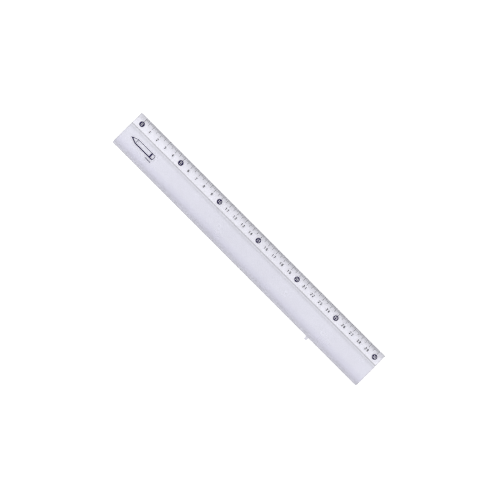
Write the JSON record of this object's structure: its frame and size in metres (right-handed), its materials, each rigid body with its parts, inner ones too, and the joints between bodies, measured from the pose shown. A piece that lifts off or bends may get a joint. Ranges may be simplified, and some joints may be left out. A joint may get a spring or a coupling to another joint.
{
  "type": "ruler",
  "caption": "Clear plastic ruler with a bevelled measuring edge, printed millimetre graduations and numerals, discs at every fifth centimetre.",
  "frame": {"origin": "centre of the flat underside, which rests on a table", "axes": "+X runs from the 0 mark to the 30 mark, +Y towards the measuring edge, +Z out of the printed face"},
  "size_m": [0.314, 0.0412, 0.0026],
  "materials": {
    "clear_plastic": "clear moulded plastic with a faint lavender tint, glossy, light handling scratches",
    "black_ink": "thin printed black ink, satin",
    "navy_ink": "thin printed navy-violet ink, satin"
  },
  "bodies": {
    "root": {"blade": "clear_plastic", "caption_bar": "navy_ink", "disc_00": "navy_ink", "disc_05": "navy_ink", "disc_10": "navy_ink", "disc_15": "navy_ink", "disc_20": "navy_ink", "disc_25": "navy_ink", "disc_30": "navy_ink", "emblem_pencil": "navy_ink", "numeral_01": "black_ink", "numeral_02": "black_ink", "numeral_03": "black_ink", "numeral_04": "black_ink", "numeral_06": "black_ink", "numeral_07": "black_ink", "numeral_08": "black_ink", "numeral_09": "black_ink", "numeral_11_tens": "black_ink", "numeral_11_units": "black_ink", "numeral_12_tens": "black_ink", "numeral_12_units": "black_ink", "numeral_13_tens": "black_ink", "numeral_13_units": "black_ink", "numeral_14_tens": "black_ink", "numeral_14_units": "black_ink", "numeral_16_tens": "black_ink", "numeral_16_units": "black_ink", "numeral_17_tens": "black_ink", "numeral_17_units": "black_ink", "numeral_18_tens": "black_ink", "numeral_18_units": "black_ink", "numeral_19_tens": "black_ink", "numeral_19_units": "black_ink", "numeral_21_tens": "black_ink", "numeral_21_units": "black_ink", "numeral_22_tens": "black_ink", "numeral_22_units": "black_ink", "numeral_23_tens": "black_ink", "numeral_23_units": "black_ink", "numeral_24_tens": "black_ink", "numeral_24_units": "black_ink", "numeral_26_tens": "black_ink", "numeral_26_units": "black_ink", "numeral_27_tens": "black_ink", "numeral_27_units": "black_ink", "numeral_28_tens": "black_ink", "numeral_28_units": "black_ink", "numeral_29_tens": "black_ink", "numeral_29_units": "black_ink", "scale_ticks": "black_ink"}
  },
  "joints": []
}
